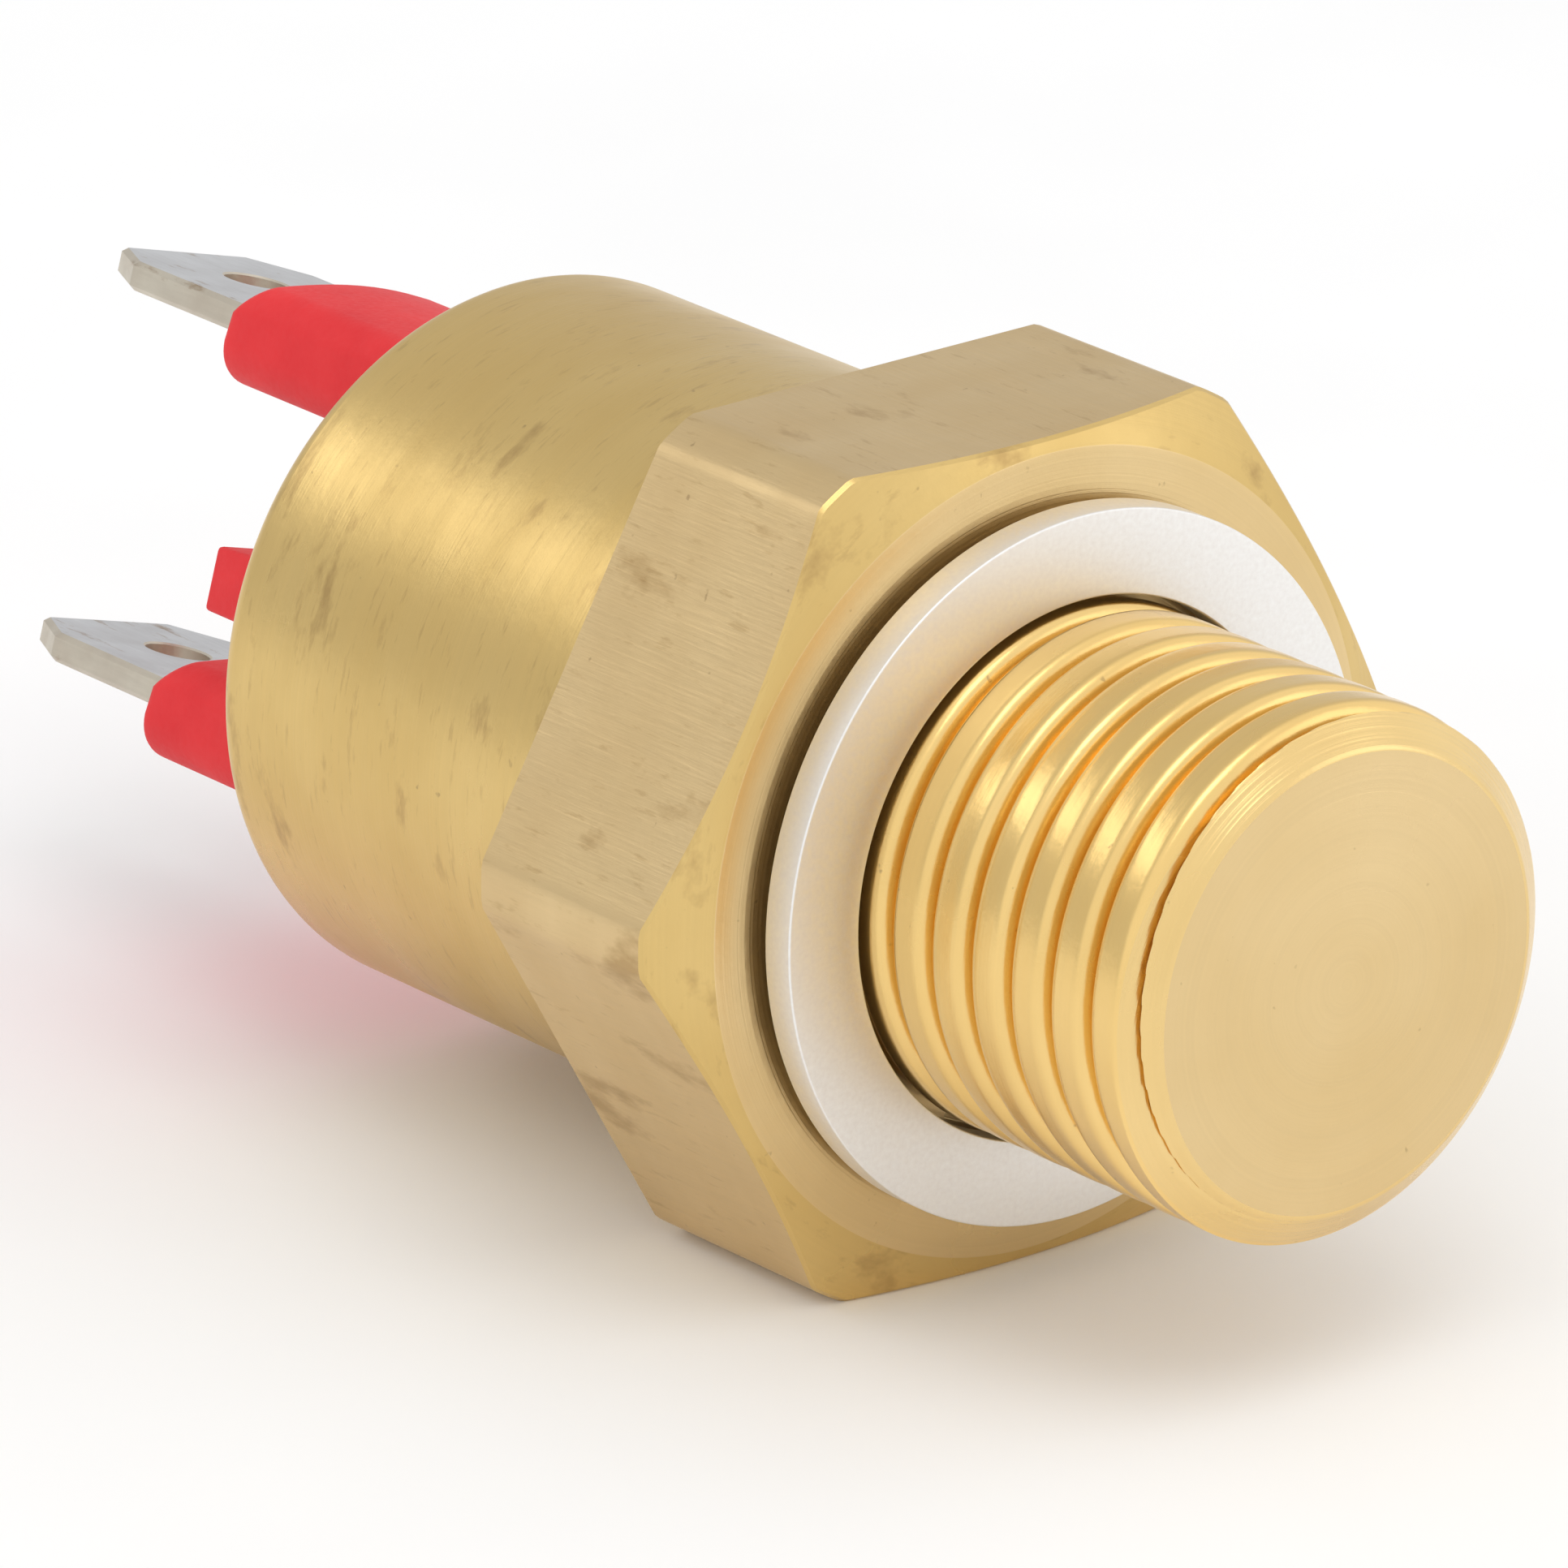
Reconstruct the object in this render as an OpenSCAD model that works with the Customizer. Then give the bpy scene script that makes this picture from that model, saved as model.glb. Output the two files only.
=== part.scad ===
// Screw-in switch with a threaded brass body, a loose sealing washer and a red
// insulator that carries two blade terminals.
// Y runs along the thread. The stud points to -Y and the terminals point to +Y.
// Z is up, square to the top flat of the hexagon.
// Y = 0 is the face of the washer that seals against the engine or tank.

/* [Thread and stud] */
// Outside diameter of the metric thread
thread_d = 14; // [13.6:0.1:14.4]
// Pitch of the thread
thread_pitch = 1.5; // [1.25:0.25:1.5]
// Diameter at the bottom of the thread and of the relief beside the hexagon
thread_root_d = 12.2; // [12:0.1:12.4]
// Length of the stud from the hexagon to its flat end
stud_len = 11.55; // [11.2:0.05:12]
// Length of the chamfer at the end of the stud
tip_chamfer = 0.8; // [0.5:0.1:1]

/* [Hexagon and cup] */
// Hexagon across the flats
hex_af = 22; // [21.5:0.1:24]
// Hexagon across its blunted corners
hex_corner_d = 24.84; // [24.6:0.02:25.2]
// Thickness of the hexagon
hex_h = 7.15; // [6.5:0.05:8]
// Diameter of the flat ring on the front of the hexagon
hex_face_d = 21.3; // [20.6:0.1:21.6]
// Slope of the front chamfer of the hexagon, in degrees
hex_chamfer_angle = 24; // [15:1:30]
// Outside diameter of the round cup behind the hexagon
cup_d = 19.3; // [19:0.1:20]
// Length of the cup from the hexagon to its rolled rim
cup_len = 14.4; // [14.2:0.1:15]
// Thickness of the cup wall
cup_wall = 1.1; // [1:0.05:1.15]

/* [Sealing washer] */
// Bore of the washer
washer_id = 14.3; // [14.2:0.05:14.6]
// Outside diameter of the washer
washer_od = 18.8; // [18:0.1:20]
// Thickness of the washer
washer_t = 0.95; // [0.8:0.05:1.2]
// Gap that the loose washer leaves in front of the hexagon
washer_gap = 0.45; // [0.2:0.05:0.6]

/* [Terminals and insulator] */
// Width of a blade terminal
blade_w = 6.3; // [5.8:0.1:6.3]
// Thickness of a blade terminal
blade_t = 0.8; // [0.7:0.05:0.9]
// Distance between the middle planes of the two blades
blade_spacing = 10.3; // [10.3:0.1:10.6]
// How far the middle of the pair of blades lies off the thread axis
blade_shift = 0.5; // [0:0.1:0.5]
// How far each blade stands out of its boot
blade_out = 6.1; // [5:0.1:8]
// Diameter of the latch hole in each blade
blade_hole_d = 1.8; // [1.4:0.1:2]
// Turn of the crimped insulator about the thread axis, in degrees
clocking = 15.5; // [0:0.5:30]
// How far the boots stand out behind the rim of the cup
boot_h = 9.85; // [8:0.05:12]
// Slope of the outer half of each boot's end, in degrees
boot_slope = 38; // [20:1:45]
// How far the small tab between the boots stands out behind the rim
tab_h = 4.1; // [2:0.1:6]

/* [Switch works] */
// Travel of the push pin when the bimetal disc snaps over
pin_travel = 0.25; // [0.1:0.05:0.25]
// Diameter of the push pin
pin_d = 2; // [1.6:0.1:2.2]
// Diameter of the bimetal disc
disc_d = 9.4; // [9:0.1:9.6]
// Thickness of the bimetal disc
disc_t = 0.25; // [0.15:0.05:0.25]
// Thickness of the contact spring
arm_t = 0.25; // [0.15:0.05:0.25]
// Distance from the axis to the rivet that holds the contact spring
arm_pivot = 3.2; // [3:0.1:3.2]
// Distance from the axis to the pair of contacts
contact_pos = 3.2; // [3:0.1:3.3]

/* [Hidden] */
$fn = 96;

// stations along the thread axis
hex_front = washer_t + washer_gap;
hex_rear = hex_front + hex_h;
rim_end = hex_rear + cup_len;
tip = hex_front - stud_len;
thread_end = tip + tip_chamfer;
disc_ledge = tip + 1.65;
well_floor = disc_ledge - 0.45;
shoulder = hex_rear - 2.05;
base_top = shoulder + 2;
arm_low = base_top + 0.9;
arm_high = arm_low + arm_t;
plate_low = arm_high + 0.1;
contact_low = arm_high + 1.16;
shelf_low = arm_high + 1.65;
liner_top = rim_end - 6.05;
blade_foot = liner_top + 0.05;
flange_low = rim_end - 4.55;
flange_top = rim_end - 0.7;
boot_end = rim_end + boot_h;
blade_tip = boot_end + blade_out;
hole_pos = blade_tip - 3.2;

// radii
thread_r = thread_d / 2;
root_r = thread_root_d / 2;
well_r = 5;
cup_r = cup_d / 2;
cup_bore_r = cup_r - cup_wall;
lip_r = cup_bore_r - 0.8;
fill_r = cup_bore_r - 0.1;

// distance of the lower (-1) or upper (1) blade's middle plane from the axis
function blade_at(side) = side * blade_spacing / 2 + blade_shift;

thread_turns = floor((0 - thread_end) / thread_pitch);
crest_w = 0.4;

// shapes drawn with Z as the axis are laid along Y
module along_axis() {
    rotate([-90, 0, 0]) children();
}

// the terminals and all that goes with them share one turn about the axis:
// X is across the blades, and Y is minus the distance from the axis
module clocked() {
    along_axis() rotate([0, 0, clocking]) children();
}

module ring(outer_r, inner_r, from, to) {
    rotate_extrude() translate([inner_r, from]) square([outer_r - inner_r, to - from]);
}

// a plate seen along the blades' thickness, drawn as across, along
module upright_plate(offset, points) {
    translate([0, -offset, 0]) rotate([90, 0, 0])
        linear_extrude(blade_t, center = true) polygon(points);
}

module slab(across, low, high, from, to) {
    translate([-across / 2, -high, from]) cube([across, high - low, to - from]);
}

// one ridge of the thread, then the groove that follows it towards the tip
function ridge(k) = [
    [thread_r, -k * thread_pitch],
    [thread_r, -k * thread_pitch - crest_w],
    [root_r, -(k + 0.5) * thread_pitch - crest_w / 2 + 0.05],
    [root_r, -(k + 0.5) * thread_pitch - crest_w / 2 - 0.05]
];

module housing() {
    thread = [for (k = [0 : thread_turns - 1]) each ridge(k)];
    last = [[thread_r, -thread_turns * thread_pitch], [thread_r, thread_end]];
    tip_end = [[thread_r - 0.95, tip], [0, tip]];
    inside = [
        [0, well_floor], [disc_d / 2 - 0.1, well_floor],
        [disc_d / 2 - 0.1, disc_ledge], [well_r, disc_ledge],
        [well_r, shoulder], [cup_bore_r, shoulder], [cup_bore_r, flange_top + 0.05],
        [lip_r, flange_top + 0.05], [lip_r, rim_end]
    ];
    cup = [
        [cup_r - 0.6, rim_end], [cup_r, rim_end - 0.6], [cup_r, hex_front + 1],
        [cup_r, hex_front], [root_r, hex_front], [root_r, 0]
    ];
    chamfer_h = (hex_corner_d - hex_face_d) / 2 * tan(hex_chamfer_angle);
    color("goldenrod") along_axis() {
        rotate_extrude() polygon(concat(inside, cup, thread, last, tip_end));
        difference() {
            intersection() {
                translate([0, 0, hex_front])
                    cylinder(h = hex_h, r = hex_af / 2 / cos(30), $fn = 6);
                rotate_extrude() polygon([
                    [0, hex_front], [hex_face_d / 2, hex_front],
                    [hex_corner_d / 2, hex_front + chamfer_h],
                    [hex_corner_d / 2, hex_rear], [0, hex_rear]
                ]);
            }
            translate([0, 0, hex_front - 1]) cylinder(h = hex_h + 2, r = cup_r - 0.3);
        }
    }
}

module seal_washer() {
    color("gainsboro") along_axis() ring(washer_od / 2, washer_id / 2, 0, washer_t);
}

// thin bimetal disc, dished towards the tip while it is cold
module snap_disc() {
    dish = 0.25;
    dish_r = (disc_d * disc_d / 4 + dish * dish) / (2 * dish);
    rim = disc_ledge + 0.02;
    color("silver") along_axis() rotate_extrude() intersection() {
        translate([0, rim - dish]) square([disc_d / 2, dish + disc_t]);
        difference() {
            translate([0, rim - dish + dish_r]) circle(r = dish_r, $fn = 400);
            translate([0, rim - dish + dish_r + disc_t]) circle(r = dish_r, $fn = 400);
        }
    }
}

module disc_retainer() {
    from = disc_ledge + 0.55;
    color("darkgray") along_axis() ring(well_r - 0.05, 3.6, from, from + 0.6);
}

module guide_sleeve() {
    color("ivory") along_axis()
        ring(well_r - 0.1, pin_d / 2 + 0.05, disc_ledge + 1.15, shoulder);
}

module transfer_pin() {
    foot = disc_ledge + 0.04;
    head = arm_low - 0.04;
    color("whitesmoke") along_axis() rotate_extrude() polygon([
        [0, foot], [0.6, foot], [pin_d / 2, foot + 0.3],
        [pin_d / 2, head - 0.35], [0.35, head], [0, head]
    ]);
}

// moulded carrier that sits on the shoulder inside the hexagon
module contact_base() {
    color("saddlebrown") clocked() difference() {
        translate([0, 0, shoulder]) cylinder(h = base_top - shoulder, r = cup_bore_r - 0.05);
        translate([0, 0, shoulder - 1]) cylinder(h = 4, r = pin_d / 2 + 0.25);
        translate([0, arm_pivot, shoulder - 1]) cylinder(h = 4, r = 0.6);
        translate([0, arm_pivot, shoulder - 1]) cylinder(h = 1.5, r = 1.25);
        for (side = [-1, 1])
            slab(2.1, blade_at(side) - 0.43, blade_at(side) + 0.43, shoulder - 1, shoulder + 3);
    }
}

// blade, narrower shank and lug, with the latch hole near the tip
module blade_terminal(offset) {
    half = blade_w / 2;
    difference() {
        upright_plate(offset, [
            [-half, blade_foot], [-half, blade_tip - 1.8], [1 - half, blade_tip],
            [half - 1, blade_tip], [half, blade_tip - 1.8], [half, blade_foot],
            [2, blade_foot], [2, base_top], [1, base_top], [1, shoulder + 0.2],
            [-1, shoulder + 0.2], [-1, base_top], [-2, base_top], [-2, blade_foot]
        ]);
        translate([0, -offset, hole_pos]) rotate([90, 0, 0])
            cylinder(h = 4, r = blade_hole_d / 2, center = true);
    }
}

module arm_terminal() {
    offset = blade_at(-1);
    color("lightsteelblue") clocked() {
        blade_terminal(offset);
        difference() {
            slab(4, offset, 1.1 - arm_pivot, base_top, base_top + 0.8);
            translate([0, arm_pivot, base_top - 1]) cylinder(h = 3, r = 0.6);
        }
    }
}

module contact_terminal() {
    offset = blade_at(1);
    color("lightsteelblue") clocked() {
        blade_terminal(offset);
        difference() {
            slab(4, contact_pos - 1.3, offset, shelf_low, shelf_low + 0.8);
            translate([0, -contact_pos, shelf_low - 1]) cylinder(h = 3, r = 0.6);
        }
    }
}

// contact spring: it bends about the rivet when the pin lifts it
module contact_arm() {
    color("peru") clocked() translate([0, 0, arm_low]) linear_extrude(arm_t) difference() {
        polygon([
            [-1.5, arm_pivot + 0.9], [1.5, arm_pivot + 0.9],
            [1.25, -contact_pos - 1.2], [-1.25, -contact_pos - 1.2]
        ]);
        translate([0, arm_pivot]) circle(r = 0.75);
        translate([0, -contact_pos]) circle(r = 0.6);
    }
}

module contact_button(offset, shank_low, shank_high, head_low, head_high, tail_low, tail_high) {
    translate([0, -offset, 0]) {
        translate([0, 0, shank_low]) cylinder(h = shank_high - shank_low, r = 0.58);
        translate([0, 0, head_low]) cylinder(h = head_high - head_low, r = 1.1);
        translate([0, 0, tail_low]) cylinder(h = tail_high - tail_low, r = 0.85);
    }
}

module moving_contact() {
    color("gainsboro") clocked() contact_button(
        contact_pos, arm_low - 0.1, arm_high + 0.1,
        arm_high, arm_high + 0.55, arm_low - 0.2, arm_low);
}

module fixed_contact() {
    color("gainsboro") clocked() contact_button(
        contact_pos, shelf_low - 0.1, shelf_low + 0.9,
        contact_low, shelf_low, shelf_low + 0.8, shelf_low + 1.05);
}

module clamp_plate() {
    color("darkgray") clocked() difference() {
        slab(3.4, -arm_pivot - 0.85, 0.95 - arm_pivot, plate_low, plate_low + 0.4);
        translate([0, arm_pivot, plate_low - 1]) cylinder(h = 3, r = 0.6);
    }
}

module arm_rivet() {
    color("burlywood") clocked() translate([0, arm_pivot, 0]) {
        translate([0, 0, shoulder + 0.05])
            cylinder(h = plate_low + 0.9 - shoulder - 0.05, r = 0.55);
        translate([0, 0, plate_low + 0.4]) cylinder(h = 0.55, r = 1);
        translate([0, 0, shoulder + 0.05]) cylinder(h = 0.4, r = 1);
    }
}

module insulating_liner() {
    color("bisque") along_axis() ring(cup_bore_r - 0.05, cup_bore_r - 0.6, base_top, liner_top);
}

module wave_washer() {
    color("silver") along_axis() ring(fill_r, 7.65, liner_top + 0.05, liner_top + 0.5);
}

module rim_gasket() {
    color("dimgray") along_axis() ring(fill_r, 7.65, liner_top + 0.55, flange_low - 0.02);
}

module sealing_resin() {
    color("darkkhaki") clocked() difference() {
        translate([0, 0, liner_top]) cylinder(h = flange_low - 0.02 - liner_top, r = 7.5);
        for (side = [-1, 1])
            slab(blade_w + 0.04, blade_at(side) - blade_t / 2 - 0.02,
                blade_at(side) + blade_t / 2 + 0.02, 0, flange_low + 1);
    }
}

// one soft plug around each blade, in a pocket under the insulator
module terminal_seals() {
    color("dimgray") clocked() for (side = [-1, 1]) difference() {
        slab(7.4, blade_at(side) - 1, blade_at(side) + 1, flange_low, flange_low + 1.5);
        slab(blade_w + 0.04, blade_at(side) - blade_t / 2 - 0.02,
            blade_at(side) + blade_t / 2 + 0.02, flange_low - 1, flange_low + 3);
    }
}

// rounded tower around one blade: crowned on one side, with its end sloping back there
module boot(offset) {
    half = blade_w / 2 + 0.2;
    low = -1.8;
    high = 0.95;
    low_r = 1.15;
    high_r = 0.8;
    flat = half - high_r;
    crown_r = 8;
    crown = crown_r - sqrt(crown_r * crown_r - flat * flat);
    difference() {
        translate([0, -offset, 0]) linear_extrude(boot_end) {
            translate([-half, high_r - high]) square([2 * half, high - low - high_r - low_r]);
            translate([-flat, -high]) square([2 * flat, 1.5]);
            translate([low_r - half, 0]) square([2 * (half - low_r), -low]);
            for (x = [-1, 1]) {
                translate([x * flat, high_r - high]) circle(r = high_r);
                translate([x * (half - low_r), -low - low_r]) circle(r = low_r);
            }
            intersection() {
                translate([-flat, -high - 1]) square([2 * flat, 2]);
                translate([0, crown_r - high - crown]) circle(r = crown_r);
            }
        }
        translate([0, 0, -1]) cylinder(h = flange_top + 0.5, r = 20);
        translate([-10, -offset, boot_end]) rotate([boot_slope, 0, 0])
            translate([0, -10, 0]) cube([20, 10, 20]);
    }
}

module insulator() {
    color("crimson") clocked() difference() {
        union() {
            translate([0, 0, flange_low])
                cylinder(h = flange_top - flange_low, r = cup_bore_r - 0.05);
            for (side = [-1, 1]) boot(blade_at(side));
            translate([-6.85, -0.45 - blade_shift, flange_top - 1])
                cube([1.75, 2, rim_end + tab_h - flange_top + 1]);
        }
        for (side = [-1, 1]) {
            slab(blade_w + 0.04, blade_at(side) - blade_t / 2 - 0.02,
                blade_at(side) + blade_t / 2 + 0.02, flange_low - 1, boot_end + 1);
            slab(7.5, blade_at(side) - 1.05, blade_at(side) + 1.05,
                flange_low - 1, flange_low + 1.55);
        }
    }
}

housing();
seal_washer();
snap_disc();
disc_retainer();
guide_sleeve();
transfer_pin();
contact_base();
arm_terminal();
contact_terminal();
contact_arm();
moving_contact();
clamp_plate();
arm_rivet();
fixed_contact();
insulating_liner();
wave_washer();
rim_gasket();
sealing_resin();
terminal_seals();
insulator();
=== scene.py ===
import math

import bmesh
import bpy
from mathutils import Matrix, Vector


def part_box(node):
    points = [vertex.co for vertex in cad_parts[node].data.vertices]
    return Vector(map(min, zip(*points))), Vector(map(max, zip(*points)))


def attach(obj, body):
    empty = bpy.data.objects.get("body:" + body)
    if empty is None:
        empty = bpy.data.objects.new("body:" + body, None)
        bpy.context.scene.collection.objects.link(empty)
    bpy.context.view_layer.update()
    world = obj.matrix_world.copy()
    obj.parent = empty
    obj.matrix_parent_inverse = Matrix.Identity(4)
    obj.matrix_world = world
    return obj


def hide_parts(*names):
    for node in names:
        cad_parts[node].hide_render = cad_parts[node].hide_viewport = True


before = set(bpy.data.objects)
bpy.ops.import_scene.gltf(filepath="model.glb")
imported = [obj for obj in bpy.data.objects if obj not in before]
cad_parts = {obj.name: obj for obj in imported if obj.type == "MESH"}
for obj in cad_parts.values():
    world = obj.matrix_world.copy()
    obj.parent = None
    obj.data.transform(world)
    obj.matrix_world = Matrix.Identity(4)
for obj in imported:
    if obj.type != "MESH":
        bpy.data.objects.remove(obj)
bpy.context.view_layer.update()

MM = 0.001

# ---- sizes in metres: y runs along the thread axis from the tip to the blades, r out from it ----
tip, rim_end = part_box("housing")[0].y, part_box("housing")[1].y
washer_low, washer_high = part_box("seal_washer")[0].y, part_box("seal_washer")[1].y
floor_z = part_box("housing")[0].z

# a turned face is closed at its middle by a small face of this radius
centre_r = 0.3 * MM

# stud
thread_r = 7.0 * MM
crest_r = thread_r - 0.04 * MM
root_r = 6.1 * MM
pitch = 1.5 * MM
crest_width_power = 5.5
thread_from, thread_to = tip + 0.03 * MM, 0.8 * MM
run_out_from, run_out_length = 0.45 * MM, 0.3 * MM
tip_chamfer_end = tip + 0.8 * MM
thread_finish_from = tip_chamfer_end - 0.1 * MM
end_face_r = 6.05 * MM
end_edge = 0.08 * MM

# hexagon
hex_front = 1.4 * MM
hex_rear = 8.55 * MM
hex_af = 22 * MM
hex_corner_r = 12.38 * MM
hex_face_r = 10.65 * MM
hex_slope = math.tan(math.radians(24))
hex_edge = 0.08 * MM
face_edge_r, face_edge_y = 0.05 * MM, 0.01 * MM

# cup and the hollow inside it
cup_r = 9.65 * MM
cup_fillet = 0.05 * MM
rim_round = 0.7 * MM
lip_r = 7.75 * MM
lip_edge = 0.15 * MM
flange_top = 22.25 * MM
rim_gap = 0.05 * MM
cup_bore_r = 8.55 * MM
shoulder = 6.5 * MM
well_r = 5 * MM
disc_r = 4.6 * MM
disc_ledge = tip + 1.65 * MM
well_floor = tip + 1.2 * MM

# washer
washer_r_in, washer_r_out = 7.15 * MM, 9.4 * MM
washer_edge = 0.05 * MM

# blades, as a pair turned about the thread axis and moved off it
clocking = math.radians(15.5)
blade_spacing = 10.3 * MM
blade_shift = 0.5 * MM
blade_t = 0.8 * MM
blade_w = 6.3 * MM
blade_tip = 38.9 * MM
blade_cut = flange_top - 0.6 * MM
blade_overlap = 0.2 * MM
coin = 0.13 * MM
slant_u, slant_y = 1 * MM, 1.8 * MM
hole_y = 35.7 * MM
hole_r = 0.9 * MM
hole_lip = 0.05 * MM

# red insulator: boots and tab start a little inside the flange
foot = flange_top - 0.3 * MM
boot_end = 32.8 * MM
boot_slope = math.tan(math.radians(38))
boot_half = blade_w / 2 + 0.2 * MM
boot_low, boot_high = -1.8 * MM, 0.95 * MM
boot_crown = 0.41 * MM
round_low, round_high = 1.15 * MM, 0.8 * MM
end_round, end_shrink = 0.34 * MM, 0.11
tab_end = 27.05 * MM
tab_u = (-6.85 * MM, -5.1 * MM)
tab_v = (blade_shift - 1.55 * MM, blade_shift + 0.45 * MM)
tab_drop = 0.25 * MM
tab_round = 0.14 * MM
flange_low = 18.4 * MM
flange_r = 8.5 * MM
flange_edge = 0.1 * MM

across = Vector((math.cos(clocking), 0, -math.sin(clocking)))
outward = Vector((math.sin(clocking), 0, math.cos(clocking)))
along = Vector((0, 1, 0))


def place(u, v, y):
    """A point given across the blades, outward from the axis, and along it."""
    return across * u + outward * v + along * y


# ---- materials ----
class Nodes:
    """A material's node tree, with short ways to add nodes."""

    def __init__(self, name):
        self.material = bpy.data.materials.new(name)
        self.material.use_nodes = True
        self.tree = self.material.node_tree
        self.shader = self.tree.nodes["Principled BSDF"]
        self.coords = self.tree.nodes.new("ShaderNodeTexCoord").outputs["Object"]

    def link(self, a, b):
        self.tree.links.new(a, b)

    def scaled(self, scale):
        """Object coordinates, in millimetres times scale."""
        node = self.tree.nodes.new("ShaderNodeMapping")
        node.inputs["Scale"].default_value = tuple(1000 * s for s in scale)
        self.link(self.coords, node.inputs["Vector"])
        return node.outputs["Vector"]

    def noise(self, scale, detail=4, rough=0.55, vector=None):
        """Noise with scale features per millimetre along x, y and z, or over a vector of its own."""
        node = self.tree.nodes.new("ShaderNodeTexNoise")
        node.inputs["Scale"].default_value = 1
        node.inputs["Detail"].default_value = detail
        node.inputs["Roughness"].default_value = rough
        self.link(vector or self.scaled(scale), node.inputs["Vector"])
        return node.outputs["Fac"]

    def ramp(self, value, stops):
        """Colour by value, from stops of (value, colour)."""
        node = self.tree.nodes.new("ShaderNodeValToRGB")
        elements = node.color_ramp.elements
        for element, (position, colour) in zip(elements, stops):
            element.position = position
            element.color = (*colour, 1)
        self.link(value, node.inputs["Fac"])
        return node.outputs["Color"]

    def grey(self, value, low, high, start=0.3, stop=0.7):
        """A number that goes from low to high while value goes from start to stop."""
        node = self.tree.nodes.new("ShaderNodeMapRange")
        for name, number in (("From Min", start), ("From Max", stop), ("To Min", low), ("To Max", high)):
            node.inputs[name].default_value = number
        self.link(value, node.inputs["Value"])
        return node.outputs["Result"]

    def mix(self, factor, colour, other):
        """Colour, with more of the fixed colour other where factor is higher."""
        node = self.tree.nodes.new("ShaderNodeMix")
        node.data_type = "RGBA"
        self.link(factor, node.inputs["Factor"])
        self.link(colour, node.inputs["A"])
        node.inputs["B"].default_value = (*other, 1)
        return node.outputs["Result"]

    def maths(self, operation, a, b=None):
        """One step of arithmetic on sockets, or on a socket and a number."""
        node = self.tree.nodes.new("ShaderNodeMath")
        node.operation = operation
        self.link(a, node.inputs[0])
        if isinstance(b, (int, float)):
            node.inputs[1].default_value = b
        elif b is not None:
            self.link(b, node.inputs[1])
        return node.outputs["Value"]

    def radius_and_y(self):
        """Distance from the thread axis and place along it, in millimetres."""
        split = self.tree.nodes.new("ShaderNodeSeparateXYZ")
        self.link(self.scaled((1, 1, 1)), split.inputs["Vector"])
        x2 = self.maths("MULTIPLY", split.outputs["X"], split.outputs["X"])
        z2 = self.maths("MULTIPLY", split.outputs["Z"], split.outputs["Z"])
        return self.maths("SQRT", self.maths("ADD", x2, z2)), split.outputs["Y"]

    def line_noise(self, position, per_mm, detail=3):
        """Noise that changes along one measure only: lathe marks."""
        join = self.tree.nodes.new("ShaderNodeCombineXYZ")
        self.link(self.maths("MULTIPLY", position, per_mm), join.inputs["X"])
        return self.noise(None, detail=detail, rough=0.6, vector=join.outputs["Vector"])

    def bump(self, height, depth_mm, previous=None):
        """A normal for this height, on top of a previous one where there is one."""
        node = self.tree.nodes.new("ShaderNodeBump")
        node.inputs["Strength"].default_value = 1
        node.inputs["Distance"].default_value = depth_mm * MM
        self.link(height, node.inputs["Height"])
        if previous is not None:
            self.link(previous, node.inputs["Normal"])
        return node.outputs["Normal"]

    def finish(self, colour, rough, normal=None, metallic=0.0, specular=0.5):
        """Connect the shader and give back the material."""
        self.link(colour, self.shader.inputs["Base Color"])
        self.link(rough, self.shader.inputs["Roughness"])
        self.shader.inputs["Metallic"].default_value = metallic
        self.shader.inputs["Specular IOR Level"].default_value = specular
        if normal is not None:
            self.link(normal, self.shader.inputs["Normal"])
        return self.material


STAIN, SCRATCH, SPECK = (0.40, 0.25, 0.10), (0.42, 0.27, 0.11), (0.28, 0.18, 0.09)
# only these finishes have stains and scratches, stretched the way the part was worked
STAIN_SCALE = {"turned": (0.30, 0.75, 0.30), "drawn": (0.5, 0.22, 0.5)}
SCRATCH_SCALE = {"turned": (0.9, 5.5, 0.9), "drawn": (4.5, 0.8, 4.5)}
MARK_DEPTH_MM = {"turned": 0.009, "faced": 0.009, "drawn": 0.009, "thread": 0.004, "chamfer": 0.022}


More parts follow.
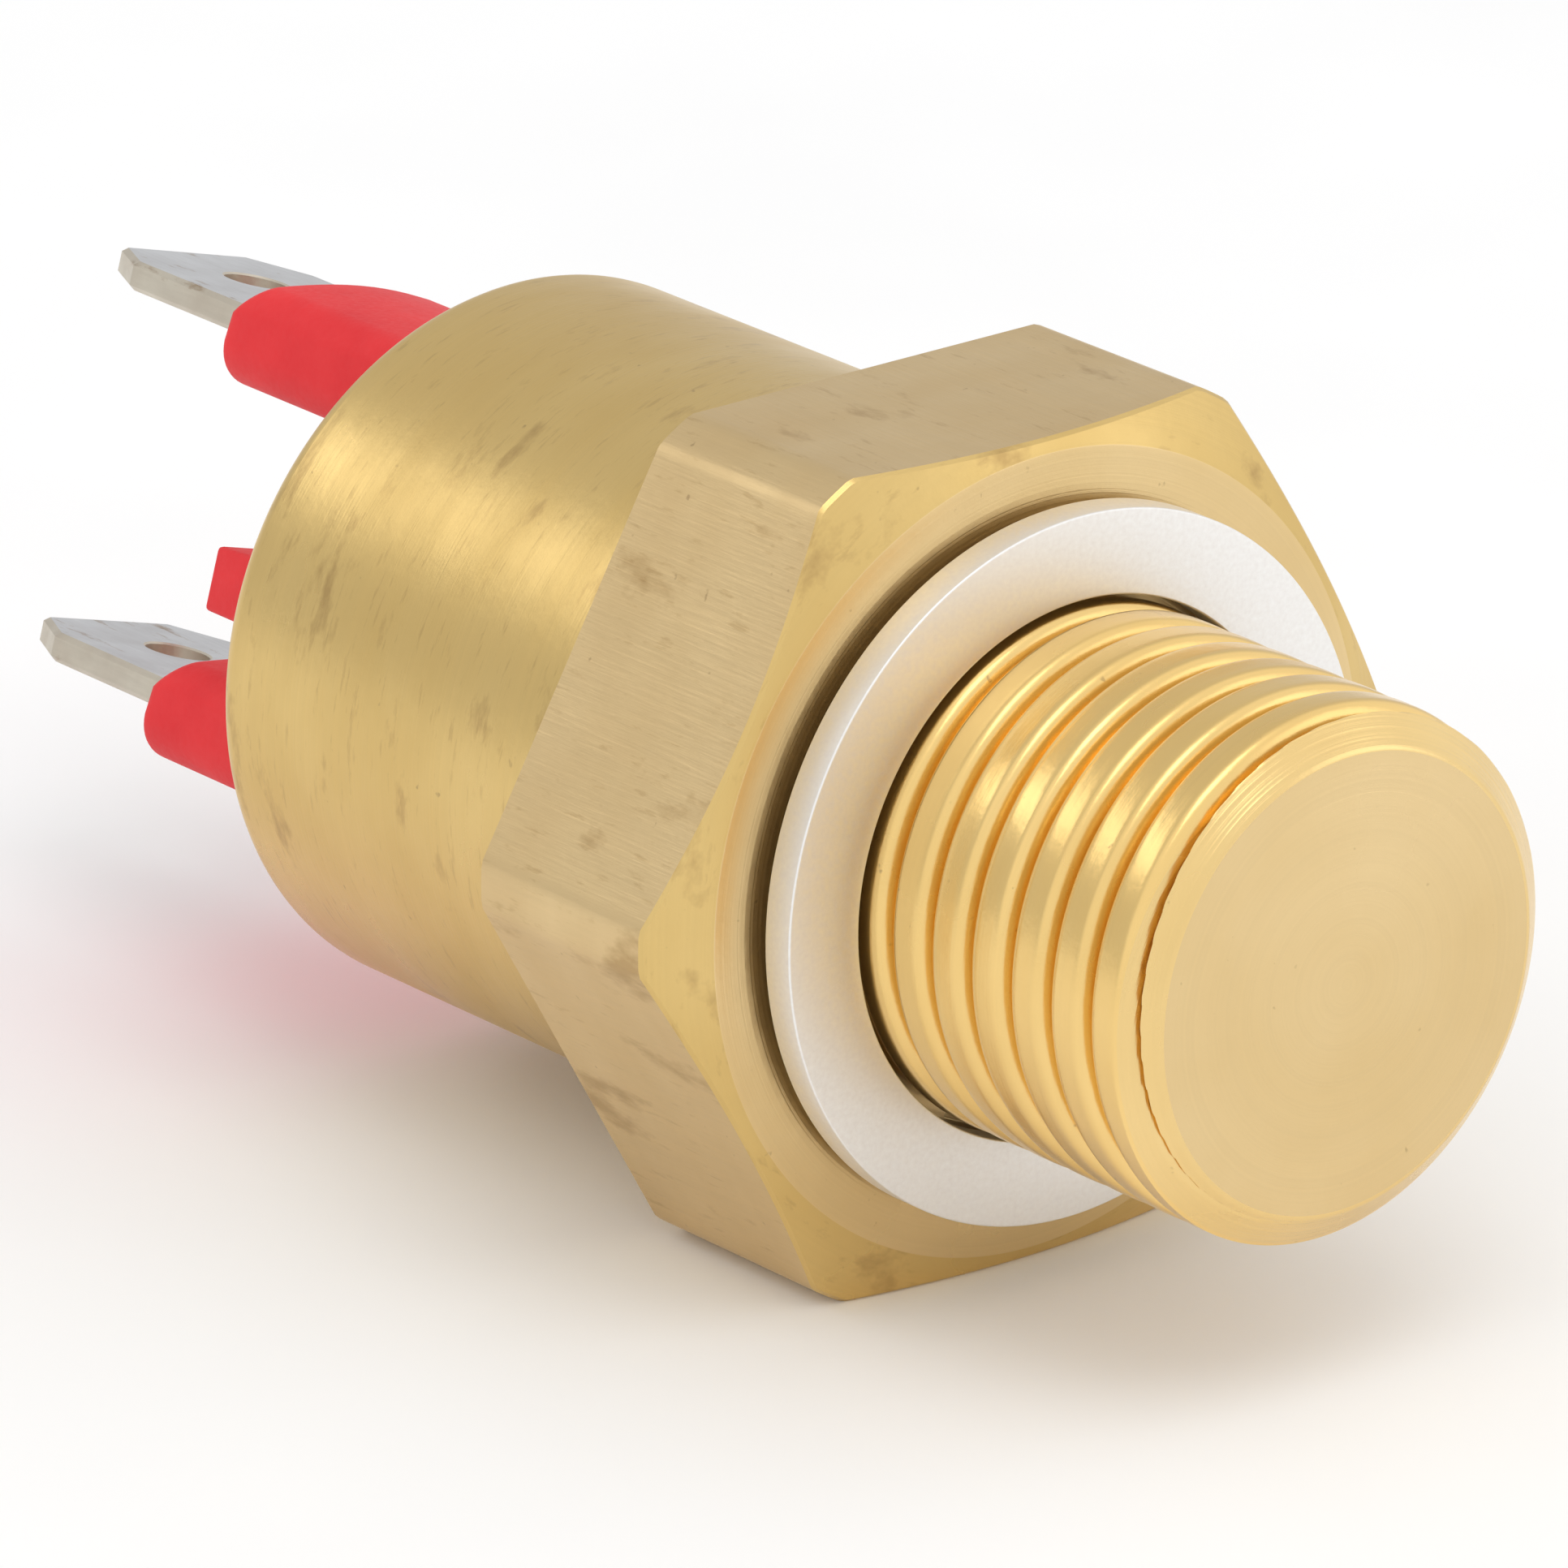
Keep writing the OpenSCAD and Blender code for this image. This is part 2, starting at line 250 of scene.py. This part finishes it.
def brass(name, marks, light, dark, rough=(0.26, 0.38)):
    """Brass with soft tarnish, dark specks and the machining marks of one of the finishes above."""
    nodes = Nodes(name)
    radius, y = nodes.radius_and_y()
    tarnish = nodes.noise((0.16, 0.30, 0.16), detail=4, rough=0.5)
    body = nodes.ramp(tarnish, [(0.25, dark), (0.75, light)])
    if marks == "faced":
        fine, broad = nodes.line_noise(radius, 11), nodes.line_noise(radius, 2.2, detail=2)
    elif marks == "drawn":
        fine, broad = nodes.noise((9, 0.5, 9), detail=3), nodes.noise((1.6, 0.2, 1.6), detail=2)
    else:
        fine, broad = nodes.line_noise(y, 14), nodes.line_noise(y, 2.6, detail=2)
    colour = nodes.mix(nodes.grey(fine, 0, 0.16), body, tuple(0.74 * c for c in light))
    colour = nodes.mix(nodes.grey(broad, 0, 0.22), colour, tuple(0.80 * c for c in light))
    if marks in STAIN_SCALE:
        stain = nodes.noise(STAIN_SCALE[marks], detail=5, rough=0.62)
        colour = nodes.mix(nodes.grey(stain, 0, 0.60, 0.585, 0.70), colour, STAIN)
        scratch = nodes.noise(SCRATCH_SCALE[marks], detail=4, rough=0.6)
        colour = nodes.mix(nodes.grey(scratch, 0, 0.32, 0.60, 0.70), colour, SCRATCH)
    speck = nodes.noise((2.6, 2.6, 2.6), detail=2, rough=0.5)
    colour = nodes.mix(nodes.grey(speck, 0, 0.45, 0.74, 0.80), colour, SPECK)
    normal = nodes.bump(fine, MARK_DEPTH_MM[marks])
    normal = nodes.bump(nodes.noise((1.7, 1.7, 1.7), detail=3), 0.010, normal)
    return nodes.finish(colour, nodes.grey(tarnish, rough[1], rough[0]), normal, metallic=1.0)


def plain_metal(name, light, dark, rough, scale=(3, 3, 3), depth=0.008):
    """Metal with an even grain in its colour, gloss and surface."""
    nodes = Nodes(name)
    grain = nodes.noise(scale, detail=5)
    colour = nodes.ramp(grain, [(0.3, dark), (0.7, light)])
    roughness = nodes.grey(grain, rough + 0.06, rough - 0.06)
    return nodes.finish(colour, roughness, nodes.bump(grain, depth), metallic=1.0)


def moulded(name, light, dark, rough):
    """Plastic, rubber, resin or ceramic: cloudy colour, soft waves and a fine grain."""
    nodes = Nodes(name)
    cloud = nodes.noise((0.35, 0.35, 0.35), detail=4)
    grain = nodes.noise((6, 6, 6), detail=3)
    colour = nodes.ramp(cloud, [(0.3, dark), (0.7, light)])
    normal = nodes.bump(grain, 0.008, nodes.bump(cloud, 0.06))
    return nodes.finish(colour, nodes.grey(grain, rough + 0.05, rough - 0.05), normal, specular=0.25)


def tinned(name, light, dark):
    """Tin plate with scratches along the blade and brown marks where it is worn."""
    nodes = Nodes(name)
    cloud = nodes.noise((0.6, 0.6, 0.6), detail=5)
    scratch = nodes.noise((6, 0.6, 6), detail=4)
    worn = nodes.grey(nodes.noise((1.3, 0.45, 1.3), detail=5, rough=0.65), 0, 0.75, 0.62, 0.72)
    colour = nodes.ramp(cloud, [(0.3, dark), (0.7, light)])
    colour = nodes.mix(nodes.grey(scratch, 0, 0.25), colour, tuple(0.8 * c for c in dark))
    colour = nodes.mix(worn, colour, (0.30, 0.19, 0.10))
    return nodes.finish(colour, nodes.grey(cloud, 0.50, 0.38), nodes.bump(scratch, 0.008), metallic=1.0)


materials = {
    "turned": brass("brass_turned", "turned", (0.77, 0.555, 0.225), (0.67, 0.465, 0.17)),
    "faced": brass("brass_faced", "faced", (0.81, 0.61, 0.32), (0.73, 0.53, 0.25)),
    "drawn": brass("brass_drawn", "drawn", (0.77, 0.58, 0.31), (0.67, 0.49, 0.25), (0.36, 0.48)),
    "chamfer": brass("brass_chamfer", "chamfer", (0.90, 0.66, 0.30), (0.80, 0.56, 0.22), (0.22, 0.32)),
    # the thread's brass is given lighter colours than the body's other brass: partly a painted highlight
    # along the thread
    "thread": brass("brass_thread_painted_highlight", "thread", (0.93, 0.66, 0.27), (0.85, 0.58, 0.21), (0.20, 0.30)),
    "washer": plain_metal(
        "washer_aluminium", (0.89, 0.88, 0.86), (0.85, 0.83, 0.81), 0.5, scale=(7, 7, 7), depth=0.002),
    "red": moulded("red_insulator", (0.80, 0.038, 0.043), (0.70, 0.024, 0.030), 0.55),
    "tin_face": tinned("tin_face", (0.68, 0.69, 0.71), (0.60, 0.60, 0.61)),
    "tin_edge": tinned("tin_edge", (0.66, 0.61, 0.51), (0.58, 0.52, 0.43)),
}


# ---- building meshes ----
def make(name, bm, mats):
    """A smooth-shaded object from a bmesh."""
    bmesh.ops.recalc_face_normals(bm, faces=bm.faces)
    mesh = bpy.data.meshes.new(name)
    bm.to_mesh(mesh)
    bm.free()
    for polygon in mesh.polygons:
        polygon.use_smooth = True
    for material in mats:
        mesh.materials.append(material)
    obj = bpy.data.objects.new(name, mesh)
    bpy.context.scene.collection.objects.link(obj)
    return obj


def join_rows(bm, a, b, material=0):
    """A band of faces between two closed rows of points."""
    for i in range(len(a)):
        j = (i + 1) % len(a)
        bm.faces.new((a[i], a[j], b[j], b[i])).material_index = material


def revolve(rings, segments, closed_loop=False):
    """A surface through rings, each (function of the angle giving radius and y, material number)."""
    bm = bmesh.new()
    rows = []
    for shape, _ in rings:
        row = []
        for i in range(segments):
            t = 2 * math.pi * i / segments
            r, y = shape(t)
            row.append(bm.verts.new((r * math.cos(t), y, r * math.sin(t))))
        rows.append(row)
    pairs = [(k, k + 1) for k in range(len(rows) - 1)]
    if closed_loop:
        pairs.append((len(rows) - 1, 0))
    for a, b in pairs:
        join_rows(bm, rows[a], rows[b], rings[b][1])
    if not closed_loop:
        bm.faces.new(rows[0]).material_index = rings[0][1]
        bm.faces.new(rows[-1]).material_index = rings[-1][1]
    return bm


def ring(r, y):
    return lambda t: (r, y)


# ---- brass body ----
TURNED, FACED, DRAWN, THREAD, CHAMFER = range(5)
SEGMENTS = 360
THREAD_ROWS = 490
CUP_ROWS = 14
ROUND_ROWS = 8


def thread_radius(t, y):
    """Wide rounded crests and narrow roots on a right-hand helix, cut off by the tip chamfer."""
    from_crest = abs((y / pitch + t / (2 * math.pi)) % 1 - 0.5) * 2
    r = crest_r - (crest_r - root_r) * from_crest ** crest_width_power
    if y > run_out_from:
        r = root_r + (r - root_r) * max(0, 1 - (y - run_out_from) / run_out_length)
    chamfer = end_face_r + (y - tip) * (thread_r - end_face_r) / (tip_chamfer_end - tip)
    return min(r, chamfer)


def hex_radius(t):
    """The hexagon's outline, with its corners turned off."""
    sixth = math.pi / 3
    local = (t - math.pi / 2 + sixth / 2) % sixth - sixth / 2
    return min(hex_af / 2 / math.cos(local), hex_corner_r)


def hex_ring(inset, rise):
    """The hexagon's outline, set in by inset, following the front chamfer plus rise."""
    def shape(t):
        r = hex_radius(t) - inset
        return r, hex_front + max(0, r - hex_face_r) * hex_slope + rise
    return shape


rings = [(ring(centre_r, tip), FACED), (ring(end_face_r - end_edge, tip), FACED)]
for k in range(THREAD_ROWS + 1):
    y = thread_from + (thread_to - thread_from) * k / THREAD_ROWS
    finish = CHAMFER if y < thread_finish_from else THREAD
    rings.append((lambda t, y=y: (thread_radius(t, y), y), finish))
rings += [
    (ring(root_r, hex_front), TURNED),
    (ring(hex_face_r - face_edge_r, hex_front), FACED),
    (ring(hex_face_r, hex_front + face_edge_y), FACED),
    (hex_ring(hex_edge, 0), TURNED),
    (hex_ring(0, hex_edge), TURNED),
    (lambda t: (hex_radius(t), hex_rear - hex_edge), DRAWN),
    (lambda t: (hex_radius(t) - hex_edge, hex_rear), DRAWN),
    (ring(cup_r + cup_fillet, hex_rear), FACED),
    (ring(cup_r, hex_rear + cup_fillet), TURNED),
]
for k in range(1, CUP_ROWS + 1):
    rings.append((ring(cup_r, hex_rear + (rim_end - rim_round - hex_rear) * k / CUP_ROWS), TURNED))
for k in range(1, ROUND_ROWS + 1):
    a = math.pi / 2 * k / ROUND_ROWS
    r = cup_r - rim_round * (1 - math.cos(a))
    rings.append((ring(r, rim_end - rim_round * (1 - math.sin(a))), TURNED))
rings += [
    (ring(lip_r + lip_edge, rim_end), FACED),
    (ring(lip_r, rim_end - lip_edge), FACED),
    (ring(lip_r, flange_top + rim_gap), FACED),
    (ring(cup_bore_r, flange_top + rim_gap), DRAWN),
    (ring(cup_bore_r, shoulder), DRAWN),
    (ring(well_r, shoulder), FACED),
    (ring(well_r, disc_ledge), DRAWN),
    (ring(disc_r, disc_ledge), FACED),
    (ring(disc_r, well_floor), DRAWN),
    (ring(centre_r, well_floor), FACED),
]
finishes = [materials[name] for name in ("turned", "faced", "drawn", "thread", "chamfer")]
body = make("brass_body", revolve(rings, SEGMENTS), finishes)
body.data.set_sharp_from_angle(angle=math.radians(28))
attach(body, "switch_body")
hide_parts("housing")

# ---- washer, with its edges rolled over ----
WASHER_SEGMENTS = 240
EDGE_ROWS = 5

washer_rings = []
for corner_r, corner_y, start in (
    (washer_r_out - washer_edge, washer_low + washer_edge, -90),
    (washer_r_out - washer_edge, washer_high - washer_edge, 0),
    (washer_r_in + washer_edge, washer_high - washer_edge, 90),
    (washer_r_in + washer_edge, washer_low + washer_edge, 180),
):
    for k in range(EDGE_ROWS + 1):
        a = math.radians(start + 90 * k / EDGE_ROWS)
        r, y = corner_r + washer_edge * math.cos(a), corner_y + washer_edge * math.sin(a)
        washer_rings.append((ring(r, y), 0))
washer_bm = revolve(washer_rings, WASHER_SEGMENTS, closed_loop=True)
washer = make("washer_ring", washer_bm, [materials["washer"]])
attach(washer, "washer")
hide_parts("seal_washer")

# ---- red insulator ----
CORNER_ROWS = 12
CROWN_ROWS = 12
END_ROWS = 6
SIDE_LEVELS = (0, 0.25, 0.5, 0.75, 0.93)
FLANGE_SEGMENTS = 180


def boot_outline():
    """The boot's section about its blade: rounded corners, crowned on the outer side."""
    corners = (
        (1, round_high, boot_high - round_high, 0),
        (-1, round_high, boot_high - round_high, 90),
        (-1, round_low, boot_low + round_low, 180),
        (1, round_low, boot_low + round_low, 270),
    )
    points = []
    for side, r, v, start in corners:
        for k in range(CORNER_ROWS + 1):
            a = math.radians(start + 90 * k / CORNER_ROWS)
            points.append((side * (boot_half - r) + r * math.cos(a), v + r * math.sin(a)))
        if start == 0:
            # points across the outer side, for the crown
            points += [((boot_half - r) * (1 - 2 * k / CROWN_ROWS), boot_high) for k in range(1, CROWN_ROWS)]
    crowned = []
    for u, v in points:
        share = min(1, max(0, (v - boot_high + round_high) / round_high))
        crowned.append((u, v + boot_crown * share * math.cos(math.pi / 2 * u / boot_half)))
    return crowned


def boot_top(v):
    """The boot's end, which slopes away on the outer side of the blade."""
    return boot_end - max(0, v) * boot_slope


def add_boot(bm, offset):
    """A boot about the blade at this offset: straight sides, then an end that is rounded over."""
    outline = boot_outline()
    middle = (boot_low + boot_high) / 2
    # each level is how much the section shrinks and its y, from the y of the end
    levels = [
        (1, lambda top, share=share: foot + (top - end_round - foot) * share)
        for share in SIDE_LEVELS
    ]
    for k in range(END_ROWS + 1):
        a = math.pi / 2 * k / END_ROWS
        levels.append((
            1 - end_shrink * (1 - math.cos(a)),
            lambda top, a=a: top - end_round * (1 - math.sin(a)),
        ))
    rows = []
    for size, height in levels:
        row = []
        for u, v in outline:
            v = middle + (v - middle) * size
            row.append(bm.verts.new(place(u * size, offset + v, height(boot_top(v)))))
        rows.append(row)
    for a, b in zip(rows, rows[1:]):
        join_rows(bm, a, b)
    bm.faces.new(rows[0])
    bm.faces.new(rows[-1])


def add_block(bm, u0, u1, v0, v1, y0, y1, drop):
    """A block whose upper side is lower by drop at the y1 end."""
    low = [bm.verts.new(place(u, v, y0)) for u, v in ((u0, v0), (u1, v0), (u1, v1), (u0, v1))]
    high = [bm.verts.new(place(u, v, y1)) for u, v in ((u0, v0), (u1, v0), (u1, v1 - drop), (u0, v1 - drop))]
    join_rows(bm, low, high)
    bm.faces.new(low)
    bm.faces.new(high)


bm = bmesh.new()
for side in (-1, 1):
    add_boot(bm, side * blade_spacing / 2 + blade_shift)
boots = make("insulator_boots", bm, [materials["red"]])
boots.data.set_sharp_from_angle(angle=math.radians(35))

bm = bmesh.new()
add_block(bm, *tab_u, *tab_v, foot, tab_end, tab_drop)
bmesh.ops.bevel(bm, geom=bm.edges[:], offset=tab_round, segments=3, profile=0.5, affect="EDGES")
tab = make("insulator_tab", bm, [materials["red"]])

flange_rings = [
    (ring(centre_r, flange_low), 0),
    (ring(flange_r, flange_low), 0),
    (ring(flange_r, flange_top - flange_edge), 0),
    (ring(flange_r - flange_edge, flange_top), 0),
    (ring(centre_r, flange_top), 0),
]
flange = make("insulator_flange", revolve(flange_rings, FLANGE_SEGMENTS), [materials["red"]])
flange.data.set_sharp_from_angle(angle=math.radians(35))
for piece in (boots, tab, flange):
    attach(piece, "switch_body")
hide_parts("insulator")

# ---- blade terminals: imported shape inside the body, a new end with coined edges outside it ----
RAYS = 72
PARALLEL = 1e-15
SLACK = 1e-6
TIN_FACE, TIN_EDGE = range(2)
# a face that looks across the blade has at least this much of its normal along outward
FLAT = 0.9


def blade_corners(inset):
    """The end's outline from the cut to the tip, set in by inset, and by more at the slanted corners."""
    half, top = blade_w / 2 - inset, blade_tip - inset
    u, y = half - slant_u + 0.25 * inset, blade_tip - slant_y - 0.6 * inset
    return [(half, blade_cut), (half, y), (u, top), (-u, top), (-half, y), (-half, blade_cut)]


def edge_point(corners, angle):
    """Where a ray from the latch hole's middle meets the outline."""
    du, dy = math.cos(angle), math.sin(angle)
    best = None
    for (u0, y0), (u1, y1) in zip(corners, corners[1:] + corners[:1]):
        eu, ey = u1 - u0, y1 - y0
        cross = du * ey - dy * eu
        if abs(cross) < PARALLEL:
            continue
        distance = (u0 * ey - (y0 - hole_y) * eu) / cross
        share = (u0 * dy - (y0 - hole_y) * du) / cross
        if distance > 0 and -SLACK <= share <= 1 + SLACK and (best is None or distance < best):
            best = distance
    return best * du, hole_y + best * dy


def add_blade_end(bm, offset):
    """A flat end with its latch hole, in rows that run from the hole out over the edge and back."""
    outline, inner_outline = blade_corners(0), blade_corners(coin)
    angles = [2 * math.pi * k / RAYS for k in range(RAYS)]
    angles += [math.atan2(y - hole_y, u) % (2 * math.pi) for u, y in outline]
    angles.sort()
    half_t = blade_t / 2

    def hole_loop(r, v):
        return [bm.verts.new(place(r * math.cos(a), offset + v, hole_y + r * math.sin(a))) for a in angles]

    def outer_loop(corners, v):
        return [bm.verts.new(place(u, offset + v, y)) for u, y in (edge_point(corners, a) for a in angles)]

    rows = [
        hole_loop(hole_r, half_t - hole_lip),
        hole_loop(hole_r + hole_lip, half_t),
        outer_loop(inner_outline, half_t),
        outer_loop(outline, half_t - coin),
        outer_loop(outline, coin - half_t),
        outer_loop(inner_outline, -half_t),
        hole_loop(hole_r + hole_lip, -half_t),
        hole_loop(hole_r, hole_lip - half_t),
    ]
    for a, b in zip(rows, rows[1:] + rows[:1]):
        join_rows(bm, a, b)


for node, side in (("arm_terminal", -1), ("contact_terminal", 1)):
    bm = bmesh.new()
    bm.from_mesh(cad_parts[node].data)
    bmesh.ops.remove_doubles(bm, verts=bm.verts, dist=1e-6)
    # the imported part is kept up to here, which is a little inside the new end
    cut = bmesh.ops.bisect_plane(bm, geom=bm.verts[:] + bm.edges[:] + bm.faces[:], clear_outer=True,
                                 plane_co=(0, blade_cut + blade_overlap, 0), plane_no=(0, 1, 0))["geom_cut"]
    bmesh.ops.holes_fill(bm, edges=[e for e in cut if isinstance(e, bmesh.types.BMEdge)])
    add_blade_end(bm, side * blade_spacing / 2 + blade_shift)
    bmesh.ops.recalc_face_normals(bm, faces=bm.faces)
    for face in bm.faces:
        face.material_index = TIN_FACE if abs(face.normal.dot(outward)) > FLAT else TIN_EDGE
    blade = make(node + "_blade", bm, [materials["tin_face"], materials["tin_edge"]])
    blade.data.set_sharp_from_angle(angle=math.radians(25))
    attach(blade, "switch_body")
    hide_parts(node)

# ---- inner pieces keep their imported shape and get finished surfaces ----
inner = {
    "snap_disc": plain_metal("bimetal", (0.66, 0.63, 0.58), (0.52, 0.49, 0.45), 0.35),
    "disc_retainer": plain_metal("pressed_steel", (0.64, 0.64, 0.64), (0.5, 0.5, 0.5), 0.4),
    "guide_sleeve": moulded("ceramic_sleeve", (0.90, 0.88, 0.82), (0.82, 0.80, 0.73), 0.6),
    "transfer_pin": moulded("ceramic_pin", (0.92, 0.90, 0.86), (0.84, 0.82, 0.76), 0.55),
    "contact_base": moulded("phenolic", (0.27, 0.15, 0.08), (0.20, 0.10, 0.05), 0.5),
    "contact_arm": plain_metal("spring_copper", (0.76, 0.48, 0.30), (0.62, 0.36, 0.20), 0.3, (8, 1, 8)),
    "moving_contact": plain_metal("contact_silver", (0.88, 0.87, 0.85), (0.75, 0.74, 0.72), 0.25),
    "clamp_plate": plain_metal("clamp_steel", (0.64, 0.64, 0.64), (0.5, 0.5, 0.5), 0.4),
    "arm_rivet": plain_metal("rivet_brass", (0.74, 0.58, 0.32), (0.6, 0.44, 0.2), 0.35),
    "fixed_contact": plain_metal("contact_silver_fixed", (0.88, 0.87, 0.85), (0.75, 0.74, 0.72), 0.25),
    "insulating_liner": moulded("liner_board", (0.82, 0.76, 0.62), (0.72, 0.66, 0.52), 0.7),
    "wave_washer": plain_metal("spring_steel", (0.62, 0.62, 0.62), (0.48, 0.48, 0.48), 0.35),
    "rim_gasket": moulded("gasket_rubber", (0.06, 0.06, 0.06), (0.035, 0.035, 0.035), 0.7),
    "sealing_resin": moulded("cast_resin", (0.38, 0.30, 0.15), (0.28, 0.21, 0.10), 0.35),
    "terminal_seals": moulded("plug_rubber", (0.06, 0.06, 0.06), (0.035, 0.035, 0.035), 0.7),
}
for node, material in inner.items():
    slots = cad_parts[node].data.materials
    slots.clear()
    slots.append(material)

# ---- floor and light ----
FLOOR_HALF = 1.5
LAMP_TARGET = Vector((0, 0.005, 0))

bm = bmesh.new()
bmesh.ops.create_grid(bm, x_segments=8, y_segments=8, size=FLOOR_HALF)
nodes = Nodes("floor_white")
paper = nodes.noise((0.05, 0.05, 0.05), detail=2)
paper_colour = nodes.ramp(paper, [(0.3, (0.97, 0.97, 0.97)), (0.7, (0.99, 0.99, 0.99))])
white = nodes.finish(paper_colour, nodes.grey(paper, 0.7, 0.8))
floor = make("floor", bm, [white])
floor.location.z = floor_z

# a white surround, dimmer behind the blades
world = bpy.data.worlds.new("studio")
bpy.context.scene.world = world
world.use_nodes = True
tree = world.node_tree
split = tree.nodes.new("ShaderNodeSeparateXYZ")
behind = tree.nodes.new("ShaderNodeValToRGB")
for element, (position, grey) in zip(behind.color_ramp.elements, ((0.05, 1.0), (0.45, 0.70))):
    element.position, element.color = position, (grey, grey, grey, 1)
tree.links.new(tree.nodes.new("ShaderNodeTexCoord").outputs["Generated"], split.inputs["Vector"])
tree.links.new(split.outputs["Y"], behind.inputs["Fac"])
tree.links.new(behind.outputs["Color"], tree.nodes["Background"].inputs["Color"])
tree.nodes["Background"].inputs["Strength"].default_value = 1.02


def softbox(name, position, size, watts):
    """A rectangular lamp that points at the object."""
    lamp = bpy.data.lights.new(name, "AREA")
    lamp.shape = "RECTANGLE"
    lamp.size, lamp.size_y = size
    lamp.energy = watts
    obj = bpy.data.objects.new(name, lamp)
    obj.location = position
    obj.rotation_euler = (LAMP_TARGET - Vector(position)).to_track_quat("-Z", "Y").to_euler()
    bpy.context.scene.collection.objects.link(obj)


softbox("key_above", (-0.05, -0.12, 0.30), (0.18, 0.18), 0.15)
softbox("front_right", (0.22, -0.24, 0.10), (0.14, 0.20), 0.05)
softbox("high_behind", (-0.16, 0.26, 0.20), (0.20, 0.08), 0.06)

# ---- camera ----
camera = bpy.data.cameras.new("camera")
camera.sensor_width = 36
camera.lens = 332.24
camera.clip_start, camera.clip_end = 0.01, 10
viewer = bpy.data.objects.new("camera", camera)
viewer.location = (-0.222753, -0.255924, 0.129242)
viewer.rotation_euler = (1.21248, -0.00735, -0.69169)
bpy.context.scene.collection.objects.link(viewer)
bpy.context.scene.camera = viewer
bpy.context.scene.view_settings.view_transform = "Standard"
